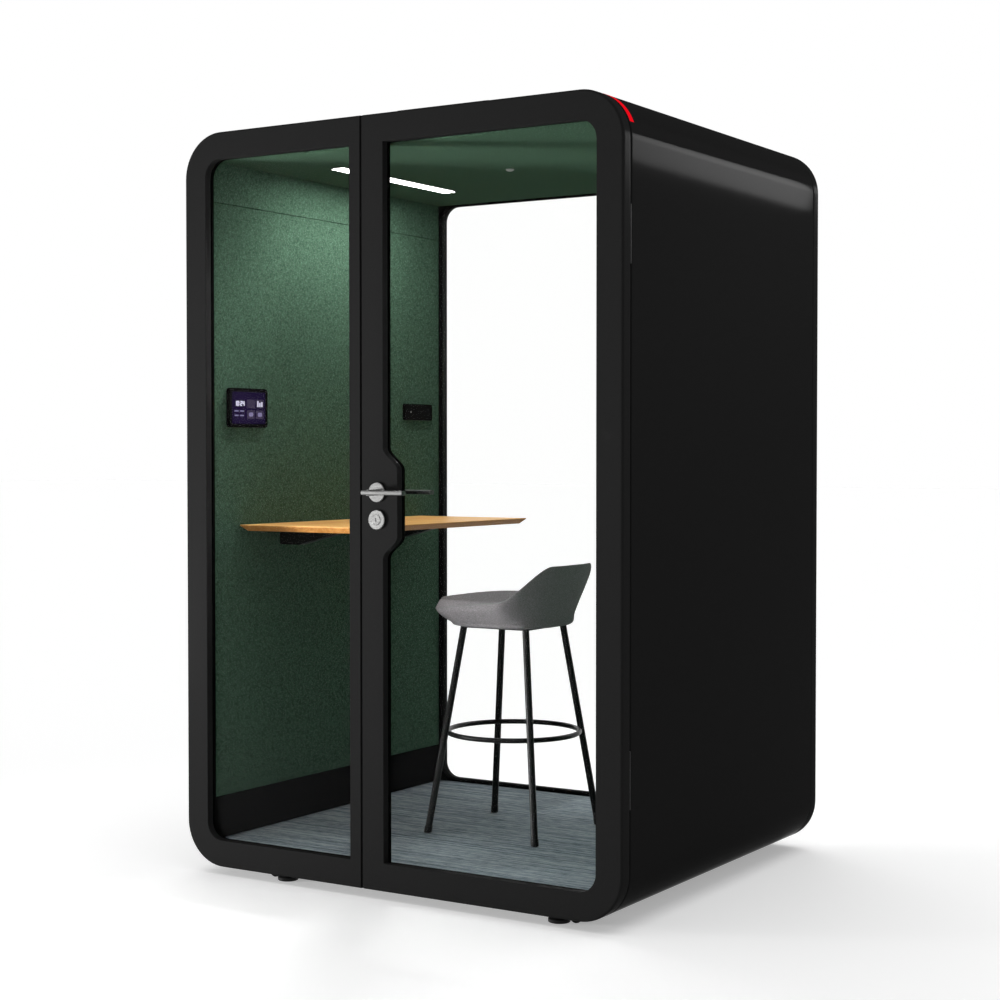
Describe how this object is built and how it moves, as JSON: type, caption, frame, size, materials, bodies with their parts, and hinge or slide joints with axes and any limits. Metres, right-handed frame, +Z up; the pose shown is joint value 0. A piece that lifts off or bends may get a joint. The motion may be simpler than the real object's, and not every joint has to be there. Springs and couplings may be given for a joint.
{
  "type": "acoustic office pod",
  "caption": "Free-standing rounded black acoustic pod with a glass door, felt walls, a fixed desk, roof fan, levelling feet, castors and a bar stool.",
  "frame": {"origin": "on the floor, under the middle of the whole object's box, outer lever included", "axes": "+Z up, +Y from the door into the pod, +X to the right seen from the door side"},
  "size_m": [1.55, 1.412, 2.3623],
  "materials": {
    "black_coat": "satin black powder coat",
    "black_steel": "black powder coat",
    "felt": "dark green woven acoustic felt",
    "carpet": "blue grey loop carpet",
    "black_trim": "matt black",
    "plywood": "raw plywood",
    "glass": "clear laminated glass",
    "rubber": "black rubber",
    "satin_metal": "satin stainless steel",
    "dark_metal": "dark anodised",
    "red_light": "translucent red, lit",
    "white_light": "opal, lit",
    "black_plastic": "fine matt black",
    "screen": "dark display glass",
    "oak": "pale oak veneer, satin lacquer",
    "upholstery": "grey woven upholstery",
    "grey_plastic": "moulded grey"
  },
  "bodies": {
    "pod": {"left_shell": "black_coat", "right_shell": "black_coat", "roof_panel": "black_coat", "sidelight_frame": "black_coat", "rear_frame": "black_coat", "vent_hood": "black_coat", "chassis": "black_steel", "desk_bracket_front": "black_steel", "desk_bracket_rear": "black_steel", "lower_hinge_frame_half": "black_steel", "upper_hinge_frame_half": "black_steel", "left_wall_panel": "felt", "right_wall_panel": "felt", "left_upper_panel": "felt", "right_upper_panel": "felt", "ceiling_panel": "felt", "carpet": "carpet", "left_skirting": "black_trim", "right_skirting": "black_trim", "sidelight_bead": "black_trim", "rear_bead": "black_trim", "floor_deck": "plywood", "sidelight_glass": "glass", "rear_glass": "glass", "front_seal": "rubber", "strike_plate": "satin_metal", "light_housing": "dark_metal", "status_light": "red_light", "light_diffuser": "white_light", "control_panel": "black_plastic", "socket_plate": "black_plastic", "control_screen": "screen", "desk_top": "oak", "ceiling_sensor": "grey_plastic"},
    "door": {"door_frame": "black_coat", "door_glass": "glass", "door_bead": "black_trim", "lower_hinge_door_half": "black_steel", "upper_hinge_door_half": "black_steel", "outer_lever_rose": "satin_metal", "inner_lever_rose": "satin_metal", "outer_lock_rose": "satin_metal", "lock_cylinder": "satin_metal", "lock_case": "satin_metal"},
    "lever": {"outer_lever": "satin_metal", "inner_lever": "satin_metal"},
    "latch": {"latch_bolt": "satin_metal"},
    "thumb_turn": {"thumb_turn": "satin_metal"},
    "dead_bolt": {"dead_bolt": "satin_metal"},
    "fan": {"fan_rotor": "grey_plastic"},
    "stool": {"stool_frame": "black_steel", "stool_seat": "upholstery"},
    "foot_front_left": {"foot_front_left": "black_steel"},
    "foot_front_right": {"foot_front_right": "black_steel"},
    "foot_rear_left": {"foot_rear_left": "black_steel"},
    "foot_rear_right": {"foot_rear_right": "black_steel"},
    "wheel_front_left": {"wheel_front_left": "rubber"},
    "wheel_front_right": {"wheel_front_right": "rubber"},
    "wheel_rear_left": {"wheel_rear_left": "rubber"},
    "wheel_rear_right": {"wheel_rear_right": "rubber"}
  },
  "joints": [
    {"name": "door_swing", "type": "hinge", "parent": "pod", "child": "door", "pos_m": [0.7715, -0.598, 1.15], "axis": [0, 0, 1], "range_deg": [0, 100]},
    {"name": "lever_press", "type": "hinge", "parent": "door", "child": "lever", "pos_m": [-0.037, -0.622, 1.197], "axis": [0, 1, 0], "range_deg": [0, 45], "stiffness_Nm_per_rad": 1.6, "springref_deg": -45.84},
    {"name": "latch_travel", "type": "slide", "parent": "door", "child": "latch", "axis": [1, 0, 0], "range_m": [0, 0.01]},
    {"name": "thumb_turn_rotation", "type": "hinge", "parent": "door", "child": "thumb_turn", "pos_m": [-0.037, -0.596, 1.117], "axis": [0, 1, 0], "range_deg": [0, 90]},
    {"name": "dead_bolt_travel", "type": "slide", "parent": "door", "child": "dead_bolt", "axis": [-1, 0, 0], "range_m": [0, 0.012]},
    {"name": "fan_spin", "type": "hinge", "parent": "pod", "child": "fan", "pos_m": [0, -0.154, 2.325], "axis": [0, 0, 1], "continuous": true},
    {"name": "stool_slide", "type": "slide", "parent": "pod", "child": "stool", "axis": [1, 0, 0], "range_m": [-0.42, 0.42]},
    {"name": "foot_front_left_level", "type": "slide", "parent": "pod", "child": "foot_front_left", "axis": [0, 0, -1], "range_m": [0, 0.02]},
    {"name": "foot_front_right_level", "type": "slide", "parent": "pod", "child": "foot_front_right", "axis": [0, 0, -1], "range_m": [0, 0.02]},
    {"name": "foot_rear_left_level", "type": "slide", "parent": "pod", "child": "foot_rear_left", "axis": [0, 0, -1], "range_m": [0, 0.02]},
    {"name": "foot_rear_right_level", "type": "slide", "parent": "pod", "child": "foot_rear_right", "axis": [0, 0, -1], "range_m": [0, 0.02]},
    {"name": "wheel_front_left_roll", "type": "hinge", "parent": "pod", "child": "wheel_front_left", "pos_m": [-0.477, -0.576, 0.022], "axis": [0, 1, 0], "continuous": true},
    {"name": "wheel_front_right_roll", "type": "hinge", "parent": "pod", "child": "wheel_front_right", "pos_m": [0.593, -0.576, 0.022], "axis": [0, 1, 0], "continuous": true},
    {"name": "wheel_rear_left_roll", "type": "hinge", "parent": "pod", "child": "wheel_rear_left", "pos_m": [-0.477, 0.638, 0.022], "axis": [0, 1, 0], "continuous": true},
    {"name": "wheel_rear_right_roll", "type": "hinge", "parent": "pod", "child": "wheel_rear_right", "pos_m": [0.593, 0.638, 0.022], "axis": [0, 1, 0], "continuous": true}
  ],
  "couplings": [
    {"joint": "latch_travel", "follows": "lever_press", "m_per_rad": 0.01273},
    {"joint": "dead_bolt_travel", "follows": "thumb_turn_rotation", "m_per_rad": 0.00763}
  ]
}
